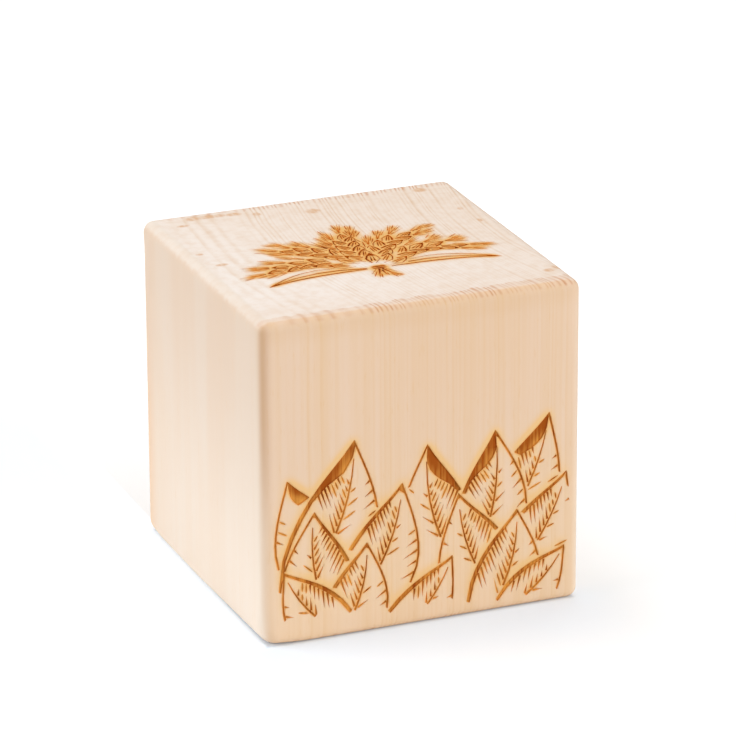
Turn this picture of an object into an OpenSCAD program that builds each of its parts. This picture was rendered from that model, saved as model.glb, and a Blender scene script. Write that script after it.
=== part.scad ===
// Wooden cube: one solid block with sanded edges and two shallow burnt engravings.
// The front (-Y) carries a frieze of broad leaves, and the top carries five ears of barley.
// The origin is the middle of the underside, and +Z is up.

/* [Block] */
// Length of each side of the block
block_size = 100; // [85:1:140]
// Radius of the sanded edges and corners
edge_radius = 3.2; // [1.5:0.1:6]

/* [Engraving] */
// Depth that the engravings are burnt to
burn_depth = 0.4; // [0.2:0.05:1]
// Bare rim that keeps each shape clear of the one in front of it
bare_rim = 0.45; // [0.3:0.05:1]

/* [Leaf frieze] */
// Height of the field that the leaves stand in
frieze_height = 60; // [45:1:72]
// Bare strip between the field and the rounded edges
frieze_margin = 0.4; // [0:0.1:4]
// Boldest line around a leaf
leaf_line = 1.3; // [0.8:0.1:2]
// Depth of the dark wedge beside the tip of each leaf at the back
leaf_wedge = 3; // [0:0.1:5]
// Widest part of a hatch stroke on a leaf
leaf_hatch = 0.7; // [0.4:0.05:1]
// Distance between the hatch strokes along a leaf
leaf_pitch = 2.15; // [1.6:0.05:4]

/* [Barley ears] */
// Length of the longest ears, from the first grain to the last
ear_length = 23.5; // [18:0.5:30]
// Length of the longest beard
beard_length = 10.5; // [8:0.5:20]
// Length of the lowest grain of an ear
grain_length = 9.2; // [6:0.1:12]
// Half the width of the lowest grain of an ear
grain_half = 2.3; // [1.2:0.1:3]
// Line around a grain
grain_line = 0.6; // [0.3:0.05:0.9]
// Widest part of a beard and of the creases on a grain
barley_hatch = 0.5; // [0.3:0.05:0.8]

/* [Hidden] */
$fn = 48;

// How far a cutter stands out of the face that it cuts
proud = 0.1;
// Flat part of each face, between its rounded edges
flat_size = block_size - 2 * edge_radius;

// The field of the frieze, and how much of its height the ragged foot takes up
frieze_field = [flat_size - 2 * frieze_margin, frieze_height];
ragged_foot = 0.09;
// The leaves from back to front. Each row gives the tip's place as shares of the field, the lean
// from upright, the length, half width and bend as shares of the field's height, and 1 for a wedge
leaf_rows = [
  [0.045, 0.80, 30, 0.80, 0.20, 0.08, 1],
  [0.270, 0.96, -24, 0.90, 0.22, -0.10, 1],
  [0.930, 0.95, -30, 0.90, 0.20, -0.09, 1],
  [0.515, 0.88, 18, 0.85, 0.20, 0.09, 1],
  [0.745, 0.90, -12, 0.80, 0.19, -0.07, 1],
  [0.430, 0.70, -28, 0.80, 0.20, -0.09, 0],
  [0.135, 0.62, 14, 0.75, 0.20, 0.08, 0],
  [0.990, 0.63, -36, 0.80, 0.19, -0.08, 0],
  [0.620, 0.60, 26, 0.80, 0.21, 0.09, 0],
  [0.310, 0.42, -22, 0.62, 0.17, -0.07, 0],
  [0.820, 0.47, -20, 0.66, 0.18, -0.07, 0],
  [0.030, 0.33, 44, 0.55, 0.15, 0.06, 0],
  [0.600, 0.28, -44, 0.60, 0.15, -0.07, 0],
  [0.985, 0.24, -50, 0.50, 0.13, -0.05, 0],
];
// Shares of a leaf's length between which its wedge swells and dies away
wedge_from = 0.68;
wedge_to = 0.98;
// Angle of the hatch strokes to the rib, and how far they stay from the rib and from the outline
hatch_angle = 38;
rib_gap = 0.55;
edge_gap = 0.25;
// Shortest hatch stroke that is worth a cut
least_stroke = 1.8;

// The flat of the top, and the tie that the barley fans out from
top_field = [[-flat_size / 2, -flat_size / 2], [flat_size / 2, flat_size / 2]];
tie = [0, -17];
tie_width = 4.8;
tie_gap = 1.4;
// Bare stem between the tie and the first grain of each ear
neck = 3.5;
// The ears from back to front: direction, bend, and length as a share of the longest
ear_rows = [[161, -4, 1], [21, 4, 1], [128, -2.5, 0.96], [56, 2.5, 0.96], [92, 1, 0.9]];
// Grains on an ear, their angle to it, and how much shorter and slimmer the last one is
grain_count = 10;
grain_spread = 25;
grain_shrink = 0.25;
grain_bend = 0.3;
// Angles of the outer and the inner beard to the ear, each with its scatter
outer_beard = [13, 12];
inner_beard = [4, 5];
// The two long leaves beside the tie: direction, length, half width and bend
grass_rows = [[187, 34, 2.6, -4], [-8, 35, 2.6, 4]];
// The stems below the tie: direction and length
stem_rows = [[250, 10], [268, 8], [287, 11]];

// Parts of a blade, which is a leaf or a grain: root, direction, length, half width, bend, wedge
ROOT = 0;
WAY = 1;
LONG = 2;
HALF = 3;
BEND = 4;
WEDGE = 5;

function turned(p, a) = [p[0] * cos(a) - p[1] * sin(a), p[0] * sin(a) + p[1] * cos(a)];
// An even scatter between 0 and 1 that comes out the same on each build
function scatter(k) = (k * 0.618034) % 1;

// Half width of a blade at the share u of its length: full low down, drawn out at the tip
function swell(b, u) = b[HALF] * pow(sin(180 * pow(u, 0.86)), 0.8) * (1 - 0.5 * pow(u, 7));
// Middle line of a blade
function spine(b, u) = 4 * b[BEND] * u * (1 - u);
// The point of a blade at the share u of its length, y to the side of its middle line
function spot(b, u, y) = b[ROOT] + turned([b[LONG] * u, spine(b, u) + y], b[WAY]);
// The side that a blade is shaded on
function shade(b) = b[BEND] < 0 ? 1 : -1;

// Whether a point lies on a blade or on the bare rim around it
function covers(b, p) =
  let (q = turned(p - b[ROOT], -b[WAY]), u = q[0] / b[LONG])
  u > 0 && u < 1 && abs(q[1] - spine(b, u)) < swell(b, u) + bare_rim;
// Whether a point is off the field or behind one of the blades in front of it
function hidden(p, field, front) =
  p[0] < field[0][0] || p[0] > field[1][0] || p[1] < field[0][1] || p[1] > field[1][1]
  || len([for (b = front) if (covers(b, p)) 1]) > 0;
function clear(p, q, field, front) =
  len([for (k = [0:4]) if (hidden(p + (q - p) * k / 4, field, front)) 1]) == 0;
// The lowest share of a blade that is still in sight along the line at v half widths
function low_end(b, v, field, front, u = 1) =
  u < 0.05 || hidden(spot(b, u - 0.02, v * swell(b, u - 0.02)), field, front)
    ? u : low_end(b, v, field, front, u - 0.02);

// Width of the line around a blade at the share u, with the wedge on the shaded side
function wedge(b, u) =
  u < wedge_from ? 0 : b[WEDGE] * sin(180 * (u - wedge_from) / (wedge_to - wedge_from));
function ink(b, u, side, line) =
  side == shade(b) ? line * (0.5 + 0.5 * sin(180 * u)) + wedge(b, u) : line * (0.3 + 0.35 * u);

module cut(points) {
  linear_extrude(burn_depth + proud) polygon(points);
}

// One pull of the burner: full at its start, and drawn out to a point at its end
module stroke(p, q, width) {
  along = q - p;
  across = [-along[1], along[0]] / norm(along) * width / 2;
  cut([p - across, q, p + across]);
}

// The line around a blade, down each side to where it goes out of sight
module outline(b, line, steps, field, front) {
  function run(side) =
    let (low = low_end(b, side, field, front))
    [for (k = [0:steps]) low + (1 - low) * pow(k / steps, 0.8)];
  function outer(u, side) = spot(b, u, side * swell(b, u));
  function inner(u, side) = spot(b, u, side * max(swell(b, u) - ink(b, u, side, line), 0.03));
  left = run(1);
  right = run(-1);
  cut(concat(
    [for (k = [0:steps]) outer(left[k], 1)],
    [for (k = [steps - 1:-1:0]) outer(right[k], -1)],
    [for (k = [0:steps - 1]) inner(right[k], -1)],
    [for (k = [steps - 1:-1:0]) inner(left[k], 1)]
  ));
}

// The rib along the middle of a blade, thinner towards the tip
module midrib(b, line, field, front) {
  steps = 4;
  top = 0.9;
  low = low_end(b, 0, field, front, top);
  share = [for (k = [0:steps]) low + (top - low) * k / steps];
  half = [for (u = share) 0.12 + 0.3 * line * (1 - u)];
  if (low < 0.75)
    cut(concat(
      [for (k = [0:steps]) spot(b, share[k], half[k])],
      [for (k = [steps:-1:0]) spot(b, share[k], -half[k])]
    ));
}

// How far a hatch stroke can run from the rib at x before it meets the outline
function room(b, x, side, t = 0) =
  let (u = (x + t * cos(hatch_angle)) / b[LONG])
  u > 0.96 || rib_gap + t * sin(hatch_angle) > swell(b, u) - ink(b, u, side, leaf_line) - edge_gap
    ? t : room(b, x, side, t + 0.4);
function hatch_spot(b, x, side, t) =
  spot(b, (x + t * cos(hatch_angle)) / b[LONG], side * (rib_gap + t * sin(hatch_angle)));

module hatch(b, x, side, from, to, field, front) {
  p = hatch_spot(b, x, side, from);
  q = hatch_spot(b, x, side, to);
  if (abs(to - from) > least_stroke && clear(p, q, field, front)) stroke(p, q, leaf_hatch);
}

// Two rows of strokes on the shaded side of a leaf, and a sparse row on the lit side
module leaf_shading(b, seed, field, front) {
  count = floor(b[LONG] / leaf_pitch);
  dark = shade(b);
  for (k = [2:count - 1]) {
    x = b[LONG] * k / count;
    toss = scatter(k + 5 * seed);
    dark_room = room(b, x, dark);
    split = 0.42 + 0.22 * toss;
    hatch(b, x, dark, 0, dark_room * (split - 0.07), field, front);
    hatch(b, x, dark, dark_room, dark_room * (split + 0.02), field, front);
    pale_room = room(b, x, -dark);
    if (k % 2 == 0)
      hatch(b, x, -dark, 0, pale_room * (0.25 + 0.2 * toss), field, front);
    else
      hatch(b, x, -dark, pale_room, pale_room * (0.62 + 0.2 * toss), field, front);
  }
}

function leaf(row) =
  let (way = 90 + row[2], long = row[3] * frieze_height)
  let (tip = [row[0] * frieze_field[0], row[1] * frieze_field[1]])
  [tip - turned([long, 0], way), way, long, row[4] * frieze_height, row[5] * frieze_height,
    row[6] * leaf_wedge];
leaves = [for (row = leaf_rows) leaf(row)];

module leaf_frieze() {
  last = len(leaves) - 1;
  for (i = [0:last]) {
    b = leaves[i];
    front = [for (k = [i + 1:1:last]) leaves[k]];
    field = [[0, ragged_foot * frieze_height * scatter(i)], frieze_field];
    outline(b, leaf_line, 8, field, front);
    midrib(b, leaf_line, field, front);
    leaf_shading(b, i, field, front);
  }
}

// The middle line of an ear, as a blade without width
function ear(row) = [tie + turned([neck, 0], row[0]), row[0], row[2] * ear_length, 0, row[1], 0];
function ear_way(e, u) = e[WAY] + atan(4 * e[BEND] * (1 - 2 * u) / e[LONG]);
// Grains sit left and right by turns, and the last one stands straight on the end
function grain_side(k) = k == grain_count - 1 ? 0 : 2 * (k % 2) - 1;
function grain(e, k) =
  let (u = k / (grain_count - 1), size = 1 - grain_shrink * u, side = grain_side(k))
  [spot(e, u, 0), ear_way(e, u) + grain_spread * side, grain_length * size, grain_half * size,
    grain_bend * side, 0];
ears = [for (row = ear_rows) ear(row)];
grains = [for (e = ears) [for (k = [0:grain_count - 1]) grain(e, k)]];
all_grains = [for (own = grains, g = own) g];

// Two creases down a grain
module creases(g, front) {
  for (v = [-0.3, 0.25]) {
    low = max(0.25, low_end(g, v, top_field, front, 0.7));
    from = spot(g, low, v * swell(g, low));
    to = spot(g, 0.8, v * swell(g, 0.8));
    if (low < 0.5 && clear(from, to, top_field, front)) stroke(from, to, barley_hatch);
  }
}

// A beard runs on from the tip of a grain, from where it comes clear of the other grains
module beard(g, way, long) {
  tip = spot(g, 1, 0);
  reach = turned([long, 0], way);
  seen = [for (t = [0.05:0.05:0.6]) if (clear(tip + t * reach, tip + reach, top_field, all_grains)) t];
  if (len(seen) > 0) stroke(tip + seen[0] * reach, tip + reach, barley_hatch);
}

module barley_ear(n) {
  over = [for (m = [n + 1:1:len(ears) - 1], g = grains[m]) g];
  for (k = [0:grain_count - 1]) {
    g = grains[n][k];
    front = concat(over, [for (j = [max(0, k - 2):1:k - 1]) grains[n][j]]);
    if (!hidden(spot(g, 0.8, 0), top_field, front)) {
      outline(g, grain_line, 3, top_field, front);
      creases(g, front);
    }
    toss = scatter(k + 4 * n);
    way = ear_way(ears[n], k / (grain_count - 1));
    side = grain_side(k);
    beard(g, way + side * (outer_beard[0] + outer_beard[1] * toss), beard_length * (0.8 + 0.2 * toss));
    inner_side = side == 0 ? -1 : side;
    beard(g, way + inner_side * (inner_beard[0] + inner_beard[1] * toss), beard_length);
  }
}

module grass_leaf(row) {
  b = [tie + turned([tie_width / 2, 0], row[0]), row[0], row[1], row[2], row[3], 0];
  outline(b, grain_line, 6, top_field, all_grains);
  midrib(b, grain_line, top_field, all_grains);
}

// The band around the stems, and the stems below it
module tied_stems() {
  for (side = [-1, 1]) {
    end = side * [tie_width, tie_gap] / 2;
    stroke(tie + end, tie + [-end[0], end[1]], 2 * barley_hatch);
  }
  for (row = stem_rows)
    stroke(tie + turned([tie_gap, 0], row[0]), tie + turned([row[1], 0], row[0]), 2 * barley_hatch);
}

module barley() {
  for (n = [0:len(ears) - 1]) barley_ear(n);
  for (row = grass_rows) grass_leaf(row);
  tied_stems();
}

module rounded_block(size, r) {
  inner = size - 2 * r;
  translate([0, 0, size / 2]) union() {
    cube([size, inner, inner], center = true);
    cube([inner, size, inner], center = true);
    cube([inner, inner, size], center = true);
    for (turn = [[0, 0, 0], [90, 0, 0], [0, 90, 0]])
      rotate(turn)
        for (x = [-1, 1], y = [-1, 1])
          translate([x, y, 0] * inner / 2) cylinder(r = r, h = inner, center = true);
    for (x = [-1, 1], y = [-1, 1], z = [-1, 1])
      translate([x, y, z] * inner / 2) sphere(r = r);
  }
}

module block() {
  color("bisque") difference() {
    rounded_block(block_size, edge_radius);
    translate([-frieze_field[0] / 2, burn_depth - block_size / 2, edge_radius + frieze_margin])
      rotate([90, 0, 0]) leaf_frieze();
    translate([0, 0, block_size - burn_depth]) barley();
  }
}

block();
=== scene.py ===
from math import cos, e, pi, radians, sin, tan

import bmesh
import bpy
import numpy as np
from mathutils import Matrix, Vector


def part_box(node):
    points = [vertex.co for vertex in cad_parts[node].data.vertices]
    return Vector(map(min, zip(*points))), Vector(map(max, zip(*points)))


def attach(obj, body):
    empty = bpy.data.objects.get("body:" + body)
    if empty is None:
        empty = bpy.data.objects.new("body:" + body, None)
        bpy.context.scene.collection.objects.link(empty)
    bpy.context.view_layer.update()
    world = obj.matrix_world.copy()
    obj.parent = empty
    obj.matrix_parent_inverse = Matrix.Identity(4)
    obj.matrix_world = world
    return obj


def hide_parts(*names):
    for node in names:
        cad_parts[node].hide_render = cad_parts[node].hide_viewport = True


# A solid block of pale softwood with sanded edges. A frieze of leaves is burnt into its front (-Y)
# and five ears of barley into its top. Everything is in metres, with the block as the CAD has it.
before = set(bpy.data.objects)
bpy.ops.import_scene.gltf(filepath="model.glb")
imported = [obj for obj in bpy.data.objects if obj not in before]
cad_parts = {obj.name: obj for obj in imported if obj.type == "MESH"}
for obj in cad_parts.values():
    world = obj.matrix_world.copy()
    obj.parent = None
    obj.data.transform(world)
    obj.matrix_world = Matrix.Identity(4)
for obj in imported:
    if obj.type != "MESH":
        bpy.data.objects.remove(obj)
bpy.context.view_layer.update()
bpy.ops.object.select_all(action="DESELECT")

MM = 0.001
LOW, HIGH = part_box("block")
SIDE = HIGH.x - LOW.x
CENTRE = (LOW + HIGH) / 2

# The block, with the same radius and burning depth as its CAD source
EDGE_RADIUS = 3.2 * MM
EDGE_STEPS = 6
BURN_DEPTH = 0.4 * MM
FLAT = SIDE - 2 * EDGE_RADIUS
# Even strips that each flat face is cut into, and how many more times where it is burnt, so that
# the scorching can fade over it
STRIPS = 72
FINER = 2
# Points that are no further apart than this lie in one place
TOUCHING = 0.002 * MM
# How far the cutters stand out of the block
PROUD = 0.1 * MM
# A short stroke tapers to both ends and a longer one to its tip, and both to their bottom. Its
# width as a share of the CAD's broad end, its depth as a share of its width, the corners around
# it, and the rings of a short one from end to end
LEAST_LONG = 5.2 * MM
STROKE_SHARE = 0.8
STROKE_DEPTH = 0.4
STROKE_CORNERS = 6
STROKE_RINGS = 8
# The point of a stroke is sharper than this, and strokes cover at least this share of a region
# that is made of them
SHARP = radians(20)
STROKES_COVER = 0.6

# The heart of the tree lies outside the block, to its right
PITH = Vector((200 * MM, 5 * MM, 0))
# The growth rings are narrow up to this radius, then wider, and they widen further from there
WIDE_FROM = 221 * MM
NARROW_RING = 1.45 * MM
WIDE_RING = 2.3 * MM
WIDENING = 0.15
# How far they sway, how many years the uneven growth shifts them, and the share of a year's growth
# where its line is darkest
RING_SWAY = 1.6 * MM
UNEVEN_YEARS = 1.6
DARKEST = 0.93


def srgb(red, green, blue):
    """A colour written 0 to 255 as a screen shows it, as the linear colour that a node takes."""
    shares = [level / 255 for level in (red, green, blue)]
    linear = [s / 12.92 if s <= 0.04045 else ((s + 0.055) / 1.055) ** 2.4 for s in shares]
    return (*linear, 1)


# ---- Working in edit mode ----


def choose(piece):
    """Makes a piece the only one that is selected."""
    bpy.ops.object.select_all(action="DESELECT")
    bpy.context.view_layer.objects.active = piece
    piece.select_set(True)


def edit(piece, kind="FACE"):
    """Opens a piece in edit mode with nothing selected, and gives its mesh."""
    choose(piece)
    bpy.ops.object.mode_set(mode="EDIT")
    bpy.ops.mesh.select_mode(type=kind)
    bpy.ops.mesh.select_all(action="DESELECT")
    return bmesh.from_edit_mesh(piece.data)


def done():
    """Leaves edit mode."""
    bpy.ops.object.mode_set(mode="OBJECT")


def apply(piece, name, kind, **settings):
    """Adds a modifier to a piece and applies it."""
    modifier = piece.modifiers.new(name, kind)
    for key, value in settings.items():
        setattr(modifier, key, value)
    choose(piece)
    bpy.ops.object.modifier_apply(modifier=name)


# ---- The block ----


def add_block():
    """The plain block with its sanded edges."""
    bpy.ops.mesh.primitive_cube_add(size=1, location=CENTRE, scale=HIGH - LOW)
    block = bpy.context.object
    block.name = "carved_cube"
    bpy.ops.object.transform_apply(location=True, rotation=True, scale=True)
    rounding = {"width": EDGE_RADIUS, "segments": EDGE_STEPS, "limit_method": "NONE"}
    apply(block, "sanded_edges", "BEVEL", **rounding)
    for axis in range(3):
        mesh = edit(block, "EDGE")
        for edge in mesh.edges:
            along = edge.verts[1].co - edge.verts[0].co
            edge.select_set(abs(abs(along[axis]) - FLAT) < TOUCHING)
        bmesh.update_edit_mesh(block.data)
        bpy.ops.mesh.subdivide(number_cuts=STRIPS - 1)
        done()
    mesh = edit(block)
    for face in mesh.faces:
        middle = face.calc_center_median()
        face.select_set(min(middle.y - LOW.y, HIGH.z - middle.z) < TOUCHING)
    bmesh.update_edit_mesh(block.data)
    bpy.ops.mesh.subdivide(number_cuts=FINER - 1)
    done()
    return block


def is_front_floor(face):
    return all(abs(v.co.y - (LOW.y + BURN_DEPTH)) < TOUCHING for v in face.verts)


def is_top_floor(face):
    return all(abs(v.co.z - (HIGH.z - BURN_DEPTH)) < TOUCHING for v in face.verts)


def add_floors():
    """The burnt floors of the CAD block, cut free of the rest of it."""
    floors = bpy.data.objects.new("burnt_floors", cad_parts["block"].data.copy())
    bpy.context.scene.collection.objects.link(floors)
    edit(floors)
    bpy.ops.mesh.select_all(action="SELECT")
    bpy.ops.mesh.remove_doubles(threshold=TOUCHING / 2)
    bpy.ops.mesh.select_all(action="DESELECT")
    mesh = bmesh.from_edit_mesh(floors.data)
    for face in mesh.faces:
        face.select_set(not (is_front_floor(face) or is_top_floor(face)))
    bmesh.update_edit_mesh(floors.data)
    bpy.ops.mesh.delete(type="FACE")
    done()
    return floors


def burnt_regions(mesh):
    """The burnt floors as lists of faces that hang together."""
    mesh.faces.index_update()
    met, regions = set(), []
    for first in mesh.faces:
        if first.index not in met:
            met.add(first.index)
            region = [first]
            for face in region:
                for other in [f for edge in face.edges for f in edge.link_faces]:
                    if other.index not in met:
                        met.add(other.index)
                        region.append(other)
            regions.append(region)
    return regions


def strokes_of(region):
    """The strokes that make up a burnt region, each as its two ends and its width, or none if it
    has another shape. The CAD draws a stroke as a long triangle, and some of them meet."""
    strokes = []
    for tip in dict.fromkeys(v for face in region for v in face.verts):
        point = sum(loop.calc_angle() for loop in tip.link_loops)
        sides = [edge.other_vert(tip).co - tip.co for edge in tip.link_edges if edge.is_boundary]
        if len(sides) == 2 and point < SHARP:
            long = max(side.length for side in sides)
            back = (sides[0].normalized() + sides[1].normalized()).normalized() * long
            strokes.append((tip.co + back, tip.co.copy(), 2 * long * tan(point / 2)))
    drawn = sum((start - end).length * width / 2 for start, end, width in strokes)
    if drawn < STROKES_COVER * sum(face.calc_area() for face in region):
        return []
    return [(start, end, width * STROKE_SHARE) for start, end, width in strokes]


def raise_cutters(floors, burnt_faces):
    """Turns the floors into solids that fill the engravings, with each stroke drawn anew."""
    mesh = edit(floors)
    for region in burnt_regions(mesh):
        if strokes_of(region):
            for floor in region:
                floor.select_set(True)
    bmesh.update_edit_mesh(floors.data)
    bpy.ops.mesh.delete(type="FACE")
    done()
    apply(floors, "raised", "SOLIDIFY", thickness=BURN_DEPTH + PROUD, offset=1)
    edit(floors)
    for face in burnt_faces:
        for start, end, width in face.strokes:
            along = face.in_space(end) - face.in_space(start)
            long = along.length
            along /= long
            turn = Matrix((along.cross(face.outward), -face.outward, along)).transposed()
            deep = min(BURN_DEPTH, width * STROKE_DEPTH)
            lift = deep / 10
            across = (width / 2, (deep + lift) / sin(2 * pi / STROKE_CORNERS))
            middle = face.in_space((start + end) / 2) + face.outward * lift
            lie = {"location": middle, "rotation": turn.to_euler()}
            if long < LEAST_LONG:
                shape = {"segments": STROKE_CORNERS, "ring_count": STROKE_RINGS}
                bpy.ops.mesh.primitive_uv_sphere_add(scale=(*across, long / 2), **shape, **lie)
            else:
                shape = {"vertices": STROKE_CORNERS, "radius1": 1, "depth": 1}
                bpy.ops.mesh.primitive_cone_add(scale=(*across, long), **shape, **lie)
    done()


def carve(block, cutters):
    """Cuts the engravings into the block."""
    apply(block, "engraving", "BOOLEAN", operation="DIFFERENCE", solver="MANIFOLD", object=cutters)
    bpy.data.objects.remove(cutters)


# The edges that are worn rounder: the two axes across each, its sides of the block, how much
# rounder it is, the axis along it, and from where it is fully worn to where it isn't worn
WORN_EDGES = [
    ((0, 1), (-1, 1), 1.2 * MM, 2, SIDE / 2 - 9 * MM, SIDE / 2),
    ((0, 2), (-1, -1), 2.2 * MM, 1, -0.47 * SIDE, 0.05 * SIDE),
]
# How far over the faces the wear runs out, and the deepest that a burnt point lies
WEAR_REACH = 15 * MM
DEEPEST = 1.1 * BURN_DEPTH


def wear_edges(block):
    """Rounds the worn edges off further. What is burnt there moves with the surface."""
    places = np.array([v.co for v in block.data.vertices]) - CENTRE
    surface = places.copy()
    flat = np.abs(places) < FLAT / 2 + TOUCHING
    burnt_front = (places[:, 1] < DEEPEST - SIDE / 2) & flat[:, 0] & flat[:, 2]
    burnt_top = (places[:, 2] > SIDE / 2 - DEEPEST) & flat[:, 0] & flat[:, 1]
    surface[burnt_front, 1] = -SIDE / 2
    surface[burnt_top, 2] = SIDE / 2
    away = np.abs(surface)
    radius = np.full(len(places), EDGE_RADIUS)
    for across, sides, wear, along, full, none in WORN_EDGES:
        near = np.clip(1 - (SIDE / 2 - away[:, across].min(axis=1)) / WEAR_REACH, 0, 1)
        near = near**2 * (3 - 2 * near) * np.clip((none - surface[:, along]) / (none - full), 0, 1)
        here = np.all(np.sign(surface[:, across]) == sides, axis=1)
        radius[here] = np.maximum(radius[here], EDGE_RADIUS + wear * near[here])
    outward = np.maximum(away - (SIDE / 2 - radius[:, None]), 0)
    length = np.linalg.norm(outward, axis=1)
    excess = np.maximum(length - radius, 0)
    shift = -np.sign(surface) * outward * (excess / np.maximum(length, TOUCHING))[:, None]
    block.data.vertices.foreach_set("co", (places + shift + CENTRE).astype(np.float32).ravel())
    block.data.update()


# ---- How the burning spreads ----


def turned(vector, degrees):
    """A flat vector turned to the left."""
    c, s = cos(radians(degrees)), sin(radians(degrees))
    return np.array([vector[0] * c - vector[1] * s, vector[0] * s + vector[1] * c])


class BurntFace:
    """A burnt face of the block, drawn flat on a fine grid of cells that run across and up it."""

    CELL = 0.2 * MM
    # Blurred ink that makes a cell count as burnt, and the bare wood that is left around a finer
    # stroke
    INKED = 0.1
    BARE = 0.22 * MM
    # How much shorter each row of finer strokes is, and the shares of its length after which one
    # may begin
    SHORTER = 0.08
    BEGINNINGS = (0, 0.1, 0.2, 0.3, 0.4, 0.5)

    def __init__(self, regions, is_floor, across, up, outward):
        self.across, self.up, self.outward = across, up, outward
        self.start = np.array([CENTRE[across], CENTRE[up]]) - SIDE / 2
        cells = int(round(SIDE / self.CELL))
        self.ink = np.zeros((cells, cells))
        self.strokes = []
        for region in regions:
            if is_floor(region[0]):
                strokes = strokes_of(region)
                for start, end, width in strokes:
                    self.add_stroke(self.drawn(start), self.drawn(end), width)
                if not strokes:
                    for face in region:
                        self.fill([self.drawn(v.co) for v in face.verts])
        middles = (np.arange(cells) + 0.5) * self.CELL
        columns, rows = self.start[0] + middles, self.start[1] + middles
        self.middles = np.stack(np.meshgrid(columns, rows), axis=-1)
        self.taken = self.spread(self.CELL) > self.INKED

    def drawn(self, place):
        """A place in space, as a point drawn on this face."""
        return np.array([place[self.across], place[self.up]])

    def in_space(self, point):
        """A point drawn on this face, as a place on the block's surface."""
        place = CENTRE + self.outward * SIDE / 2
        place[self.across], place[self.up] = point
        return place

    def fill(self, corners):
        """Marks the cells whose middles lie in a shape, as a fan of triangles."""
        places = (np.array(corners) - self.start) / self.CELL - 0.5
        for k in range(1, len(places) - 1):
            a, b, c = places[0], places[k], places[k + 1]
            low = np.maximum(np.floor(np.min([a, b, c], axis=0)).astype(int), 0)
            high = np.ceil(np.max([a, b, c], axis=0)).astype(int) + 1
            x, y = np.meshgrid(np.arange(low[0], high[0]), np.arange(low[1], high[1]))
            sides = np.array([
                (q[0] - p[0]) * (y - p[1]) - (q[1] - p[1]) * (x - p[0])
                for p, q in ((a, b), (b, c), (c, a))
            ])
            inside = np.all(sides >= 0, axis=0) | np.all(sides <= 0, axis=0)
            self.ink[y[inside], x[inside]] = 1

    def is_clear(self, start, end):
        """Whether the line from start to end stays on bare wood."""
        steps = np.linspace(0, 1, int(np.linalg.norm(end - start) / self.CELL) + 2)[:, None]
        x, y = ((start + (end - start) * steps - self.start) / self.CELL).astype(int).T
        return not self.taken[y, x].any()

    def add_stroke(self, start, end, width):
        """Adds one pull of the burner."""
        self.strokes.append((start, end, width))
        along = (end - start) / 2
        across = turned(along, 90) / np.linalg.norm(along) * width / 2
        turns = [pi * k / STROKE_RINGS for k in range(2 * STROKE_RINGS)]
        if np.linalg.norm(end - start) < LEAST_LONG:
            self.fill([(start + end) / 2 + along * cos(t) + across * sin(t) for t in turns])
        else:
            self.fill([start - across, end, start + across])

    def bundle(self, least, most, count, aside, turn, width):
        """Sets finer strokes to both sides of each stroke between two lengths, from where they come
        clear: each row further aside, turned further out by some degrees and a little shorter."""
        leaders = [
            (start, end)
            for start, end, _ in self.strokes
            if least < np.linalg.norm(end - start) < most
        ]
        for k in range(1, count + 1):
            for side in (-1, 1):
                for start, end in leaders:
                    along = end - start
                    root = start + turned(along, 90 * side) / np.linalg.norm(along) * aside * k
                    reach = turned(along, turn * side * k) * (1 - self.SHORTER * k)
                    self.add_where_clear(root, reach, width)

    def add_where_clear(self, root, reach, width):
        """Adds a stroke from the first of a few places where it keeps clear of what is burnt."""
        end = root + reach
        for begin in self.BEGINNINGS:
            start = root + begin * reach
            if self.is_clear(start, end):
                self.add_stroke(start, end, width)
                along = end - start
                share = np.clip((self.middles - start) @ along / (along @ along), 0, 1)
                gap = np.linalg.norm(self.middles - start - share[..., None] * along, axis=-1)
                self.taken |= gap < width + self.BARE
                return

    def spread(self, reach):
        """The ink blurred evenly over a reach in metres."""
        span = int(3 * reach / self.CELL)
        steps = np.arange(-span, span + 1) * self.CELL
        bell = np.exp(-0.5 * (steps / reach) ** 2)
        bell /= bell.sum()
        rows = np.apply_along_axis(np.convolve, 1, self.ink, bell, "same")
        return np.apply_along_axis(np.convolve, 0, rows, bell, "same")

    def read(self, cells, points, shift=0.0):
        """The value at each point, shift metres above it on the face."""
        x = (points[:, self.across] - self.start[0]) / self.CELL - 0.5
        y = (points[:, self.up] + shift - self.start[1]) / self.CELL - 0.5
        last = len(cells) - 1
        x, y = np.clip(x, 0, last - 1e-6), np.clip(y, 0, last - 1e-6)
        i, j = x.astype(int), y.astype(int)
        x, y = x - i, y - j
        lower = cells[j, i] * (1 - x) + cells[j, i + 1] * x
        upper = cells[j + 1, i] * (1 - x) + cells[j + 1, i + 1] * x
        return lower * (1 - y) + upper * y


# How far the scorching reaches around a stroke, and the smoke around that, which rises on the front
BURN_REACH = 0.4 * MM
FRONT_SMOKE = 1.5 * MM
TOP_SMOKE = 1.2 * MM
SMOKE_RISE = 1.3 * MM
# The width of the finer strokes, and how far aside their rows are of a beard and of a short stroke
FINE_STROKE = 0.34 * MM
BEARD_ROWS = 0.2 * MM
SHORT_ROWS = 0.62 * MM


def read_burnt_faces(floors):
    """The front and the top as the CAD burns them, with finer strokes added on the top."""
    mesh = bmesh.new()
    mesh.from_mesh(floors.data)
    regions = burnt_regions(mesh)
    front = BurntFace(regions, is_front_floor, 0, 2, Vector((0, -1, 0)))
    top = BurntFace(regions, is_top_floor, 0, 1, Vector((0, 0, 1)))
    mesh.free()
    top.bundle(LEAST_LONG, SIDE, count=4, aside=BEARD_ROWS, turn=4.5, width=FINE_STROKE)
    top.bundle(0, LEAST_LONG, count=1, aside=SHORT_ROWS, turn=0, width=FINE_STROKE)
    return front, top


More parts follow.
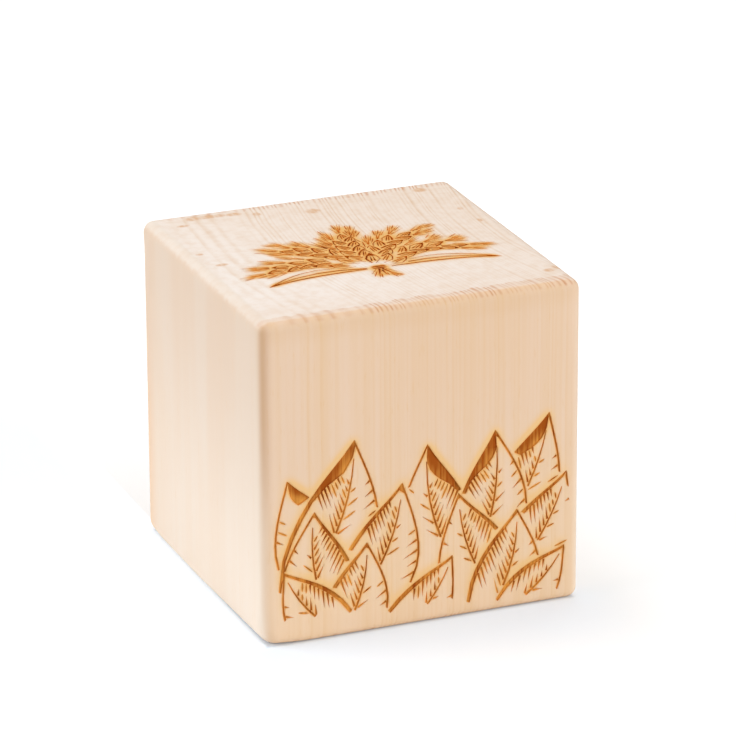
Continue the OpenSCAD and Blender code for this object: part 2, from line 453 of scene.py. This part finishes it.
def write_burning(block, front, top):
    """Two values at each point: how hard it is burnt, and how much smoke has stained it."""
    points = np.array([v.co for v in block.data.vertices])
    # A face and all that is burnt into it lie in this thin skin
    skin = 1.5 * BURN_DEPTH
    on_front = points[:, 1] < LOW.y + skin
    on_top = points[:, 2] > HIGH.z - skin
    burn, smoke = np.zeros(len(points)), np.zeros(len(points))
    for face, touched, smoke_reach, rise in (
        (front, on_front, FRONT_SMOKE, SMOKE_RISE),
        (top, on_top, TOP_SMOKE, 0),
    ):
        near, far = face.spread(BURN_REACH), face.spread(smoke_reach)
        burn = np.where(touched, face.read(near, points), burn)
        smoke = np.where(touched, face.read(far, points, -rise), smoke)
    for name, values in (("burn", burn), ("smoke", smoke)):
        layer = block.data.attributes.new(name, "FLOAT", "POINT")
        layer.data.foreach_set("value", values.astype(np.float32))


# ---- Shader nodes ----


def add(tree, kind, inputs=None, **settings):
    """Adds a node. Its inputs are values, or sockets that are linked in."""
    node = tree.nodes.new(kind)
    for key, value in settings.items():
        setattr(node, key, value)
    for key, value in (inputs or {}).items():
        if isinstance(value, bpy.types.NodeSocket):
            tree.links.new(value, node.inputs[key])
        else:
            node.inputs[key].default_value = value
    return node


def calc(tree, operation, *values, clamp=False):
    """A Math node's result."""
    inputs = dict(enumerate(values))
    return add(tree, "ShaderNodeMath", inputs, operation=operation, use_clamp=clamp).outputs[0]


def plus(tree, one, other):
    return calc(tree, "ADD", one, other)


def minus(tree, one, other):
    return calc(tree, "SUBTRACT", one, other)


def times(tree, one, other):
    return calc(tree, "MULTIPLY", one, other)


def over(tree, one, other):
    return calc(tree, "DIVIDE", one, other)


def larger(tree, one, other):
    return calc(tree, "MAXIMUM", one, other)


def ramp(tree, value, start, end, low=0.0, high=1.0, smooth=True):
    """The value brought from start..end to low..high, and held there outside."""
    kind = "SMOOTHSTEP" if smooth else "LINEAR"
    inputs = {"Value": value, "From Min": start, "From Max": end, "To Min": low, "To Max": high}
    return add(tree, "ShaderNodeMapRange", inputs, interpolation_type=kind).outputs["Result"]


def blend(tree, factor, one, other, kind="MIX"):
    """Two colours mixed by a factor."""
    # The sockets go by number, as a Mix node has others of the same names for other kinds of value
    inputs = {0: factor, 6: one, 7: other}
    settings = {"data_type": "RGBA", "blend_type": kind, "clamp_factor": True}
    return add(tree, "ShaderNodeMix", inputs, **settings).outputs[2]


def mix(tree, factor, one, other):
    """Two values mixed by a factor."""
    return add(tree, "ShaderNodeMix", {0: factor, 2: one, 3: other}, data_type="FLOAT").outputs[0]


def parts(tree, vector):
    """The three parts of a vector."""
    return add(tree, "ShaderNodeSeparateXYZ", {0: vector}).outputs


def stretched(tree, place, across, along):
    """A place scaled for a pattern that is drawn out along the grain."""
    inputs = {"Vector": place, "Scale": (across, across, along)}
    return add(tree, "ShaderNodeMapping", inputs).outputs[0]


def noise(tree, place, detail=2.0, roughness=0.5, scale=1.0):
    """A cloudy pattern, mostly from 0.3 to 0.7."""
    inputs = {"Vector": place, "Scale": scale, "Detail": detail, "Roughness": roughness}
    return add(tree, "ShaderNodeTexNoise", inputs).outputs["Fac"]


def along_years(tree, kind, years, **inputs):
    """A random pattern that changes from one year's growth to the next."""
    return add(tree, kind, {"W": years, **inputs}, noise_dimensions="1D").outputs[0]


def new_group(name):
    """A node group that takes a place on the block, as (tree, its place)."""
    tree = bpy.data.node_groups.new(name, "ShaderNodeTree")
    tree.interface.new_socket("Place", in_out="INPUT", socket_type="NodeSocketVector")
    return tree, tree.nodes.new("NodeGroupInput").outputs["Place"]


def give(tree, values):
    """Names the values that a group gives."""
    for name in values:
        tree.interface.new_socket(name, in_out="OUTPUT", socket_type="NodeSocketFloat")
    output = tree.nodes.new("NodeGroupOutput")
    for name, socket in values.items():
        tree.links.new(socket, output.inputs[name])


def read_group(tree, group, place):
    """What a group gives at a place."""
    return add(tree, "ShaderNodeGroup", {"Place": place}, node_tree=group).outputs


def written(tree, name):
    """A value that is written on the points of the block."""
    return add(tree, "ShaderNodeAttribute", attribute_name=name).outputs["Fac"]


def add_bump(tree, shader, height, strength, distance):
    """Roughens a shader's surface by a height."""
    inputs = {"Height": height, "Strength": strength, "Distance": distance}
    bump = add(tree, "ShaderNodeBump", inputs)
    tree.links.new(bump.outputs[0], shader.inputs["Normal"])


def new_material(name):
    """A material with its shader, as (material, tree, shader)."""
    material = bpy.data.materials.new(name)
    material.use_nodes = True
    tree = material.node_tree
    return material, tree, tree.nodes["Principled BSDF"]


# ---- The wood ----

# How far in from the front or back the sanded arris of the top begins, and where it is full
ARRIS_BEGINS = 5.4 * MM
ARRIS_FULL = 4.2 * MM
# How much further in that is at the right than at the left, and how uneven it is
SANDED_RIGHT = 1.2 * MM
SANDED_UNEVEN = 0.8 * MM
# How far in from the front, right and left the rim of the end grain is full, and where it ends
RIM_AT_FRONT = 3.9 * MM, 5.4 * MM
RIM_AT_RIGHT = 1.4 * MM, 2.9 * MM
RIM_AT_LEFT = 3 * MM, 4.5 * MM
# The middle of a warmer band up the front and back, to the right of theirs, and how far from it
# the band is full, and where it ends
WARM_BAND = CENTRE.x + 12 * MM
WARM_REACH = 8 * MM, 40 * MM


def sanded_further(tree, place):
    """How much further an edge of the top is sanded here than it is at the left."""
    further = ramp(tree, parts(tree, place)[0], LOW.x + 10 * MM, HIGH.x - 10 * MM, 0, SANDED_RIGHT)
    cloud = noise(tree, place, scale=280)
    return plus(tree, further, ramp(tree, cloud, 0.3, 0.7, -SANDED_UNEVEN, SANDED_UNEVEN))


def faces_group():
    """How far each point faces to the side and along the grain, read from where it is on the
    rounded block, and whether it is on the sanded arris between the end grain and the front or
    back."""
    tree, place = new_group("which_face")
    aways, squares = [], []
    for axis, socket in enumerate(parts(tree, place)):
        away = calc(tree, "ABSOLUTE", minus(tree, socket, CENTRE[axis]))
        turn = ramp(tree, away, FLAT / 2, SIDE / 2, smooth=False)
        aways.append(away)
        squares.append(times(tree, turn, turn))
    total = plus(tree, plus(tree, squares[0], squares[1]), squares[2])
    total = larger(tree, total, 0.001)
    side, front, end = [over(tree, square, total) for square in squares]
    sanded_in = plus(tree, aways[1], sanded_further(tree, place))
    end_arris = ramp(tree, sanded_in, SIDE / 2 - ARRIS_BEGINS, SIDE / 2 - ARRIS_FULL)
    end_arris = times(tree, ramp(tree, end, 0.25, 0.55), end_arris)
    # The end grain shows over the whole rounding at the sides, but stops short of it at the front,
    # and its outline wavers
    toward_front = over(tree, front, plus(tree, plus(tree, front, side), 0.0001))
    shows_from = mix(tree, toward_front, 0, 0.84)
    shows_fully = mix(tree, toward_front, 0.6, 1)
    wavering = ramp(tree, noise(tree, place, scale=500), 0.3, 0.7, -0.3, 0.3)
    wavering = times(tree, times(tree, end, minus(tree, 1, end)), wavering)
    shown = ramp(tree, plus(tree, end, wavering), shows_from, shows_fully)
    give(tree, {"Side": side, "End": shown, "End Arris": end_arris})
    return tree


def tone_group():
    """Slow changes of tone, some of them painted light and shade, over the whole block, each from 0
    to about 1.
    """
    tree, place = new_group("slow_tones")
    x, y, z = parts(tree, place)
    # The upright edges on the left are painted darker, as painted shade between the lamps: sharply
    # at the side, fading over the front, and weaker low down
    toward_edge = ramp(tree, x, LOW.x + 0.8 * MM, LOW.x + 5 * MM, 1, 0)
    away = calc(tree, "ABSOLUTE", minus(tree, y, CENTRE.y))
    toward_front = ramp(tree, away, SIDE / 2 - 2.5 * MM, SIDE / 2 - 0.7 * MM)
    painted_edge_shade = times(tree, times(tree, toward_edge, toward_edge), toward_front)
    painted_edge_shade = times(tree, painted_edge_shade, ramp(tree, z, LOW.z + 30 * MM, LOW.z + 75 * MM, 0.15, 1))
    slant = minus(tree, times(tree, x, -1), y)
    # The rim of the end grain has its own tone, which fades out a long way behind the front
    sanded_in = minus(tree, y, sanded_further(tree, place))
    rim_front = ramp(tree, sanded_in, LOW.y + RIM_AT_FRONT[0], LOW.y + RIM_AT_FRONT[1], 1, 0)
    rim_front = larger(tree, rim_front, ramp(tree, y, LOW.y, LOW.y + 30 * MM, 0.35, 0))
    rim_right = ramp(tree, x, HIGH.x - RIM_AT_RIGHT[1], HIGH.x - RIM_AT_RIGHT[0])
    rim_left = ramp(tree, x, LOW.x + RIM_AT_LEFT[0], LOW.x + RIM_AT_LEFT[1], 1, 0)
    # The sides are warmer toward the back, most of all low down, and in a line up the edge
    warm_back = ramp(tree, y, HIGH.y - 13 * MM, HIGH.y)
    warm_back = times(tree, warm_back, ramp(tree, z, LOW.z + 25 * MM, HIGH.z, 1, 0.1))
    warm_line = ramp(tree, y, HIGH.y - 3 * MM, HIGH.y - 1.2 * MM, 0, 0.8)
    # Just under the top the front and back are painted darker and warmer, as painted shade over the
    # top rounding, and they are warmer in a wide band down their middle
    painted_crown_shade = ramp(tree, z, HIGH.z - 9 * MM, HIGH.z - 3 * MM, 0, 0.6)
    off_band = calc(tree, "ABSOLUTE", minus(tree, x, WARM_BAND))
    warm_middle = ramp(tree, off_band, *WARM_REACH, 0.6, 0)
    warm_middle = times(tree, warm_middle, ramp(tree, z, CENTRE.z, HIGH.z - 10 * MM, 0.4, 1))
    tones = {
        "Painted Edge Shade": painted_edge_shade,
        "Warm Back": larger(tree, warm_back, warm_line),
        "Front Shade And Warmth": plus(tree, painted_crown_shade, warm_middle),
        "Low": ramp(tree, z, LOW.z, HIGH.z, 1, 0),
        "Foot": ramp(tree, z, LOW.z + 5 * MM, LOW.z + 65 * MM, 1, 0),
        "Near Left": ramp(tree, slant, -70 * MM, 70 * MM),
        "Back": ramp(tree, y, LOW.y, HIGH.y),
        "Rim": larger(tree, rim_front, rim_right),
        "Rim Left": rim_left,
    }
    give(tree, tones)
    return tree


def rings_group():
    """The growth rings: pale in spring, darker to a thin autumn line, then pale again at once."""
    tree, place = new_group("growth_rings")
    x, y, _ = parts(tree, place)
    cloud = noise(tree, stretched(tree, place, 22, 9))
    sway = ramp(tree, cloud, 0, 1, -RING_SWAY, RING_SWAY, smooth=False)
    out_x = plus(tree, minus(tree, x, PITH.x), sway)
    out_y = minus(tree, y, PITH.y)
    squares = plus(tree, times(tree, out_x, out_x), times(tree, out_y, out_y))
    radius = calc(tree, "SQRT", squares)
    # The years that the tree took to grow to here
    near = over(tree, calc(tree, "MINIMUM", radius, WIDE_FROM), NARROW_RING)
    far = larger(tree, minus(tree, radius, WIDE_FROM), 0)
    widened = plus(tree, times(tree, far, WIDENING / WIDE_RING), 1)
    widened = over(tree, calc(tree, "LOGARITHM", widened, e), WIDENING)
    years = plus(tree, near, widened)
    uneven = along_years(tree, "ShaderNodeTexNoise", years, Scale=0.31, Detail=1)
    years = plus(tree, years, times(tree, uneven, UNEVEN_YEARS))
    grown = calc(tree, "FRACT", years)
    year = along_years(tree, "ShaderNodeTexWhiteNoise", calc(tree, "FLOOR", years))
    darker = ramp(tree, grown, 0.3, DARKEST)
    ending = ramp(tree, grown, DARKEST, 1, 1, 0)
    autumn = times(tree, calc(tree, "POWER", darker, 1.6), ending)
    slow = ramp(tree, radius, WIDE_FROM - 4 * MM, WIDE_FROM + 6 * MM)
    soft = ramp(tree, calc(tree, "PINGPONG", plus(tree, years, 0.65), 0.5), 0.1, 0.5)
    patchy = ramp(tree, noise(tree, place, detail=1, scale=90), 0.35, 0.65, 0.35, 1)
    soft = times(tree, soft, patchy)
    give(tree, {"Autumn": autumn, "Soft": soft, "Year": year, "Slow": slow})
    return tree


def fibre_group():
    """Fine fibres along the grain, slower streaks of warmer wood, wide bands, and short dashes."""
    tree, place = new_group("wood_fibre")
    fibre = noise(tree, stretched(tree, place, 2200, 60), detail=3, roughness=0.6)
    streak = noise(tree, stretched(tree, place, 330, 6), detail=3, roughness=0.6)
    band = ramp(tree, noise(tree, stretched(tree, place, 90, 8), detail=1), 0.35, 0.65)
    dash = ramp(tree, noise(tree, stretched(tree, place, 1100, 170), detail=1), 0.6, 0.78)
    give(tree, {"Fibre": fibre, "Streak": streak, "Band": band, "Dash": dash})
    return tree


# Where resin has stained the end grain of the top: how far right of and behind its middle, and how
# far the stain reaches to the sides and to front and back, in millimetres
RESIN_MARKS = [
    (-35.5, 44.4, 2.8, 2.2),
    (-30.7, 44.2, 3.4, 1.9),
    (-27, 44, 2.4, 1.5),
    (-22.6, 43.4, 2.8, 1.8),
    (-16, 41, 1.5, 1.7),
    (-40.3, 39.2, 2.2, 1),
    (0.6, 37, 2.6, 2.4),
    (37.6, 42.7, 2.4, 2.2),
    (43.5, 10, 0.9, 1.6),
    (42.3, 22, 1.1, 1.2),
    (44.6, -38.6, 2.2, 1.6),
    (47.6, -37, 1.7, 2),
    (-41.6, 2.6, 2.2, 1.2),
    (-44.5, 13.5, 1.4, 1),
]


def resin_group():
    """Small broken stains on the end grain."""
    tree, place = new_group("resin_marks")
    x, y, _ = parts(tree, place)
    total = None
    for mark_x, mark_y, reach_x, reach_y in RESIN_MARKS:
        off_x = over(tree, minus(tree, x, mark_x * MM), reach_x * MM)
        off_y = over(tree, minus(tree, y, mark_y * MM), reach_y * MM)
        off = plus(tree, times(tree, off_x, off_x), times(tree, off_y, off_y))
        here = ramp(tree, off, 0.1, 1.2, 1, 0)
        total = here if total is None else larger(tree, total, here)
    seen_from_above = add(tree, "ShaderNodeMapping", {"Vector": place, "Scale": (900, 300, 0)})
    cloud = noise(tree, seen_from_above.outputs[0], detail=1)
    broken = ramp(tree, cloud, 0.35, 0.6, 0.5, 1)
    give(tree, {"Resin": times(tree, total, broken)})
    return tree


# Spring wood is the pale part of a year's growth, and autumn wood the darker line that ends it.
# The block's end is its top, and its sides are the left and right
FRONT_SPRING, FRONT_AUTUMN = srgb(240, 211, 185), srgb(231, 184, 108)
# The front's spring wood is painted lighter toward its foot, as painted light bounced from the
# floor
FOOT_SPRING_PAINTED_LIT = srgb(246, 216, 184)
# The sides' spring wood is painted lighter low down than high up, as painted light from below
SIDE_SPRING_HIGH_PAINTED_DIM, SIDE_SPRING_LOW_PAINTED_LIT = srgb(234, 213, 193), srgb(255, 241, 226)
SIDE_AUTUMN = srgb(240, 208, 170)
# The top's spring wood is painted lighter toward the front left, as painted light from the lamps
# there
PAINTED_LIT_END_SPRING, PAINTED_DIM_END_SPRING = srgb(253, 242, 233), srgb(247, 230, 215)
END_RIM, LEFT_RIM = srgb(244, 222, 203), srgb(246, 232, 218)
END_AUTUMN = srgb(226, 189, 149)
WARM_SIDE = srgb(253, 233, 212)
# Multiplies the front and back: painted shade just under the top, and warmth down their middle
FRONT_SHADE_AND_WARMTH = srgb(251, 246, 237)
PINK_SIDE = srgb(254, 250, 246)
# The painted shade on the upright edges at the left, the short lines on the sanded arris, and the
# stains
PAINTED_EDGE_SHADE = srgb(208, 160, 112)
TICK = srgb(216, 160, 120)
RESIN = srgb(222, 168, 112)
FRONT_SMOKED, TOP_SMOKED = srgb(244, 198, 128), srgb(241, 184, 94)
FRONT_SINGED, TOP_SINGED = srgb(240, 174, 88), srgb(226, 138, 34)
# Burnt wood at its palest and its darkest
FLOOR_FRONT = srgb(250, 180, 82), srgb(166, 82, 14)
FLOOR_TOP = srgb(222, 120, 8), srgb(146, 54, 0)
# The walls are burnt wood painted lighter than the floors at their darkest, as painted light
# against the shade in the narrow grooves
WALL_FRONT_PAINTED_LIGHTER = srgb(252, 174, 72), srgb(202, 102, 20)
WALL_TOP_PAINTED_LIGHTER = srgb(224, 118, 8), srgb(152, 58, 0)


def by_face(tree, face, front, side, end):
    """A colour that changes with the way that the surface faces."""
    return blend(tree, face["End"], blend(tree, face["Side"], front, side), end)


def pale_wood(groups):
    """The planed and sanded wood, warmest on the front and back, stained where smoke passed, with
    painted light and shade on its faces and edges.
    """
    material, tree, shader = new_material("pale_wood")
    place = add(tree, "ShaderNodeTexCoord").outputs["Object"]
    face = read_group(tree, groups["faces"], place)
    tone = read_group(tree, groups["tones"], place)
    rings = read_group(tree, groups["rings"], place)
    fibre = read_group(tree, groups["fibre"], place)
    resin = read_group(tree, groups["resin"], place)["Resin"]

    # The sides are painted lighter toward the bottom, as painted light from below
    side = blend(tree, tone["Low"], SIDE_SPRING_HIGH_PAINTED_DIM, SIDE_SPRING_LOW_PAINTED_LIT)
    side = blend(tree, fibre["Band"], side, PINK_SIDE, "MULTIPLY")
    side = blend(tree, tone["Warm Back"], side, WARM_SIDE, "MULTIPLY")
    # The top is painted lighter toward the front left, as painted light
    end = blend(tree, tone["Near Left"], PAINTED_DIM_END_SPRING, PAINTED_LIT_END_SPRING)
    end = blend(tree, tone["Rim"], blend(tree, tone["Rim Left"], end, LEFT_RIM), END_RIM)
    # The front is painted lighter toward its foot, as painted light from the floor
    front = blend(tree, tone["Foot"], FRONT_SPRING, FOOT_SPRING_PAINTED_LIT)
    # Painted shade darkens the front just under the top, and it is warmer down its middle
    front = blend(tree, tone["Front Shade And Warmth"], front, FRONT_SHADE_AND_WARMTH, "MULTIPLY")
    spring = by_face(tree, face, front, side, end)
    autumn = by_face(tree, face, FRONT_AUTUMN, SIDE_AUTUMN, END_AUTUMN)
    # Some years end in a faint line and others in a strong one, and it is strongest on the end
    # grain, toward the back
    strength = ramp(tree, rings["Year"], 0, 1, 0.15, 0.7, smooth=False)
    on_end = ramp(tree, tone["Back"], 0, 1, 0.5, 0.9)
    on_end = times(tree, on_end, ramp(tree, rings["Slow"], 0, 1, 1, 0.6))
    strength = times(tree, strength, mix(tree, face["End"], 0.27, on_end))
    # The wide rings end in thin lines along the grain, and in soft ones across the end of it
    sharpness = ramp(tree, rings["Slow"], 0, 1, 1, 2)
    on_end = mix(tree, 0.7, rings["Autumn"], rings["Soft"])
    line = mix(tree, face["End"], calc(tree, "POWER", rings["Autumn"], sharpness), on_end)
    line = times(tree, line, strength)
    # Streaks and dashes of warmer wood lie between the lines
    streaky = mix(tree, face["Side"], 0.2, 0.07)
    line = plus(tree, line, times(tree, streaky, ramp(tree, fibre["Streak"], 0.35, 0.7)))
    line = plus(tree, line, times(tree, fibre["Dash"], ramp(tree, face["End"], 0, 1, 0.16, 0)))
    colour = blend(tree, line, spring, autumn)

    # Painted shade darkens the upright edges on the left
    colour = blend(tree, times(tree, tone["Painted Edge Shade"], 0.6), colour, PAINTED_EDGE_SHADE)
    # The autumn lines end in short ticks on the sanded arris, strongest from its middle rightward
    tick = times(tree, mix(tree, 0.8, rings["Autumn"], rings["Soft"]), face["End Arris"])
    tick = times(tree, tick, ramp(tree, rings["Year"], 0, 0.5, 0.55, 1))
    tick = times(tree, tick, ramp(tree, parts(tree, place)[0], LOW.x, CENTRE.x, 0.4, 1))
    patchy = ramp(tree, noise(tree, place, detail=1, scale=260), 0.4, 0.6, 0.6, 1)
    tick = times(tree, tick, patchy)
    colour = blend(tree, tick, colour, TICK)
    colour = blend(tree, times(tree, times(tree, resin, face["End"]), 0.7), colour, RESIN)

    # Smoke has stained the wood around what is burnt, and heat has singed it close by
    smoke, burn = written(tree, "smoke"), written(tree, "burn")
    smoked = blend(tree, face["End"], FRONT_SMOKED, TOP_SMOKED)
    singed = blend(tree, face["End"], FRONT_SINGED, TOP_SINGED)
    spread_by = mix(tree, face["End"], 0.45, 0.26)
    stained = mix(tree, face["End"], 0.8, 0.9)
    colour = blend(tree, ramp(tree, smoke, 0.02, spread_by, 0, stained), colour, smoked)
    colour = blend(tree, ramp(tree, burn, 0.1, 0.5, 0, 0.75), colour, singed)

    tree.links.new(colour, shader.inputs["Base Color"])
    shader.inputs["Specular IOR Level"].default_value = 0.3
    tree.links.new(ramp(tree, fibre["Fibre"], 0.2, 0.8, 0.55, 0.7), shader.inputs["Roughness"])
    add_bump(tree, shader, fibre["Fibre"], 0.15, 0.05 * MM)
    return material


def burnt_wood(groups, name, front, top):
    """Wood burnt by a hot beam, from its pale to its dark colour on the front and on the top: the
    harder it is burnt the darker, and striped where the beam crossed the grain."""
    material, tree, shader = new_material(name)
    place = add(tree, "ShaderNodeTexCoord").outputs["Object"]
    face = read_group(tree, groups["faces"], place)
    rings = read_group(tree, groups["rings"], place)
    fibre = read_group(tree, groups["fibre"], place)
    smoke, burn = written(tree, "smoke"), written(tree, "burn")
    heat = ramp(tree, burn, 0.1, 0.5, 0, 0.45)
    heat = plus(tree, heat, ramp(tree, smoke, 0.3, 0.6, 0, 0.5))
    heat = plus(tree, heat, times(tree, rings["Autumn"], 0.25))
    heat = plus(tree, heat, ramp(tree, fibre["Streak"], 0.3, 0.7, -0.25, 0.25))
    heat = calc(tree, "ADD", heat, ramp(tree, fibre["Fibre"], 0.3, 0.7, -0.12, 0.12), clamp=True)
    pale = blend(tree, face["End"], front[0], top[0])
    dark = blend(tree, face["End"], front[1], top[1])
    tree.links.new(blend(tree, heat, pale, dark), shader.inputs["Base Color"])
    shader.inputs["Roughness"].default_value = 0.85
    shader.inputs["Specular IOR Level"].default_value = 0.15
    add_bump(tree, shader, fibre["Fibre"], 0.6, 0.1 * MM)
    return material


# The block's materials, in their order
WOOD, BURNT_FLOOR, BURNT_WALL = 0, 1, 2


def finish_block(block):
    """Gives the block its three materials, face by face."""
    groups = {
        "faces": faces_group(),
        "tones": tone_group(),
        "rings": rings_group(),
        "fibre": fibre_group(),
        "resin": resin_group(),
    }
    block.data.materials.clear()
    block.data.materials.append(pale_wood(groups))
    block.data.materials.append(burnt_wood(groups, "burnt_floor", FLOOR_FRONT, FLOOR_TOP))
    # The walls' colours hold painted light against the shade in the grooves
    block.data.materials.append(burnt_wood(groups, "burnt_wall_painted_lighter", WALL_FRONT_PAINTED_LIGHTER, WALL_TOP_PAINTED_LIGHTER))
    mesh = bmesh.new()
    mesh.from_mesh(block.data)
    for face in mesh.faces:
        outward = burnt_from(face)
        if outward is None:
            face.material_index = WOOD
        else:
            is_floor = face.normal.dot(outward) > 0.8
            face.material_index = BURNT_FLOOR if is_floor else BURNT_WALL
    mesh.to_mesh(block.data)
    mesh.free()


def burnt_from(face):
    """The direction that a burnt face was burnt from, or nothing where the wood is bare."""
    middle = face.calc_center_median()
    for axis, outer, inward in ((1, LOW.y, 1), (2, HIGH.z, -1)):
        depths = [(v.co[axis] - outer) * inward for v in face.verts]
        aside = [abs(middle[k] - CENTRE[k]) for k in range(3) if k != axis]
        if TOUCHING < max(depths) < BURN_DEPTH + TOUCHING and max(aside) < FLAT / 2:
            outward = Vector((0, 0, 0))
            outward[axis] = -inward
            return outward
    return None


# ---- Floor, light and camera ----

# How much light the seen floor sends back, in its plain and its cooler parts, and how much it glows
# far from the block and near it, where its weaker glow is a painted shadow
PLAIN_FLOOR, COOL_FLOOR = (0.8, 0.8, 0.8, 1), (0.73, 0.83, 0.95, 1)
FAR_GLOW, NEAR_GLOW = 0.37, 0.262
WHITE = (1, 1, 1, 1)


def add_floor():
    """A wide white floor. The camera sees it glow, dimmed around the block into a painted shadow,
    and all else is lit by it as matt white.
    """
    bpy.ops.mesh.primitive_plane_add(size=12, location=(0, 0, LOW.z))
    floor = bpy.context.object
    floor.name = "floor"
    material, tree, shader = new_material("white_floor")
    shader.inputs["Base Color"].default_value = (0.86, 0.86, 0.86, 1)
    shader.inputs["Roughness"].default_value = 1
    shader.inputs["Specular IOR Level"].default_value = 0
    rays = add(tree, "ShaderNodeLightPath").outputs
    seen = larger(tree, rays["Is Camera Ray"], rays["Is Glossy Ray"])
    seen = larger(tree, seen, rays["Is Transmission Ray"])
    # Where it is seen it glows nearly white: less so near the block, as a painted shadow before it
    # and to its right, a little more again close to its left, as painted light, and not at all
    # under it, which paints a dark line along its foot. Before the block and to its left it is
    # cooler, to make up for the warm light from the wood
    x, y, _ = parts(tree, add(tree, "ShaderNodeTexCoord").outputs["Object"])
    aside = minus(tree, calc(tree, "ABSOLUTE", minus(tree, x, CENTRE.x)), SIDE / 2)
    ahead = minus(tree, calc(tree, "ABSOLUTE", minus(tree, y, CENTRE.y)), SIDE / 2)
    left = ramp(tree, x, LOW.x + 3 * MM, LOW.x + 4 * MM, 1, 0)
    left = times(tree, left, ramp(tree, y, LOW.y - 1 * MM, LOW.y + 4 * MM))
    open_from = mix(tree, left, -2.2 * MM, -2.6 * MM)
    open_fully = mix(tree, left, -0.4 * MM, -0.9 * MM)
    beside = ramp(tree, larger(tree, aside, ahead), open_from, open_fully)
    lifted = times(tree, left, ramp(tree, aside, 0, 8 * MM, 0.11, 0))
    aside = over(tree, larger(tree, aside, 0), mix(tree, left, 32 * MM, 2 * MM))
    ahead = over(tree, larger(tree, ahead, 0), 80 * MM)
    away = plus(tree, times(tree, aside, aside), times(tree, ahead, ahead))
    near = ramp(tree, calc(tree, "SQRT", away), 0, 1, 1, 0)
    before = calc(tree, "POWER", near, 3)
    before = times(tree, before, ramp(tree, y, LOW.y, LOW.y + 15 * MM, 1, 0))
    before = times(tree, before, ramp(tree, x, HIGH.x - 20 * MM, HIGH.x + 15 * MM, 1, 0.2))
    before = larger(tree, before, left)
    shade = blend(tree, before, PLAIN_FLOOR, COOL_FLOOR)
    dimmed = add(tree, "ShaderNodeBsdfDiffuse", {"Color": shade}).outputs[0]
    lit = plus(tree, ramp(tree, near, 0, 1, FAR_GLOW, NEAR_GLOW, smooth=False), lifted)
    lit = times(tree, lit, beside)
    # It sends a little more light up to the foot of the block than it gets
    shader.inputs["Emission Color"].default_value = WHITE
    tree.links.new(times(tree, near, 0.06), shader.inputs["Emission Strength"])
    glow = add(tree, "ShaderNodeEmission", {"Color": WHITE, "Strength": lit}).outputs[0]
    shown = add(tree, "ShaderNodeAddShader", {0: dimmed, 1: glow}).outputs[0]
    mixed = add(tree, "ShaderNodeMixShader", {0: seen, 1: shader.outputs[0], 2: shown}).outputs[0]
    tree.links.new(mixed, tree.nodes["Material Output"].inputs["Surface"])
    floor.data.materials.append(material)


def add_world():
    """White where the camera looks past the floor, and an even soft light for the rest."""
    world = bpy.data.worlds.new("studio")
    bpy.context.scene.world = world
    world.use_nodes = True
    tree = world.node_tree
    rays = add(tree, "ShaderNodeLightPath").outputs
    seen = larger(tree, rays["Is Camera Ray"], rays["Is Transmission Ray"])
    strength = ramp(tree, seen, 0, 1, 0.3, 1, smooth=False)
    background = tree.nodes["Background"]
    background.inputs["Color"].default_value = WHITE
    tree.links.new(strength, background.inputs["Strength"])


def add_lamp(name, azimuth, elevation, distance, size, power):
    """A square softbox that faces the block."""
    lamp = bpy.data.lights.new(name, "AREA")
    lamp.size = size
    lamp.energy = power
    box = bpy.data.objects.new(name, lamp)
    bpy.context.scene.collection.objects.link(box)
    back = facing(azimuth, elevation)
    box.location = CENTRE + back * distance
    box.rotation_euler = back.to_track_quat("Z", "Y").to_euler()


def facing(azimuth, elevation):
    """The direction from the block to a lamp or the camera. Azimuth 0 is in front, 90 at right."""
    turn, rise = radians(azimuth), radians(elevation)
    return Vector((sin(turn) * cos(rise), -cos(turn) * cos(rise), sin(rise)))


def add_camera():
    """A long lens, a little above the block and to its left."""
    azimuth, elevation, roll = -21.988, 20.817, radians(-0.306)
    distance, aside, above = 14.8947 * SIDE, 0.0288 * SIDE, 0.1175 * SIDE
    back = facing(azimuth, elevation)
    level = Vector((0, 0, 1)).cross(back).normalized()
    upright = back.cross(level)
    right = cos(roll) * level + sin(roll) * upright
    up = cos(roll) * upright - sin(roll) * level
    camera = bpy.data.objects.new("camera", bpy.data.cameras.new("camera"))
    bpy.context.scene.collection.objects.link(camera)
    camera.data.sensor_width = 36
    camera.data.lens = 244.7
    camera.location = CENTRE + right * aside + up * above + back * distance
    camera.rotation_euler = Matrix((right, up, back)).transposed().to_euler()
    camera.data.clip_start, camera.data.clip_end = 0.05, 50
    bpy.context.scene.camera = camera


# ---- Making it all ----

block = add_block()
floors = add_floors()
front, top = read_burnt_faces(floors)
raise_cutters(floors, (front, top))
carve(block, floors)
write_burning(block, front, top)
finish_block(block)
wear_edges(block)
choose(block)
bpy.ops.object.shade_smooth_by_angle(angle=radians(25))
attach(block, "root")
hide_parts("block")

add_floor()
add_world()
add_lamp("left_softbox", azimuth=-105, elevation=30, distance=1.6, size=1.2, power=13.8)
add_lamp("front_softbox", azimuth=30, elevation=25, distance=1.8, size=1.2, power=16.8)
add_lamp("top_softbox", azimuth=170, elevation=75, distance=1.7, size=1.4, power=9.6)
add_camera()

scene = bpy.context.scene
scene.view_settings.view_transform = "Standard"
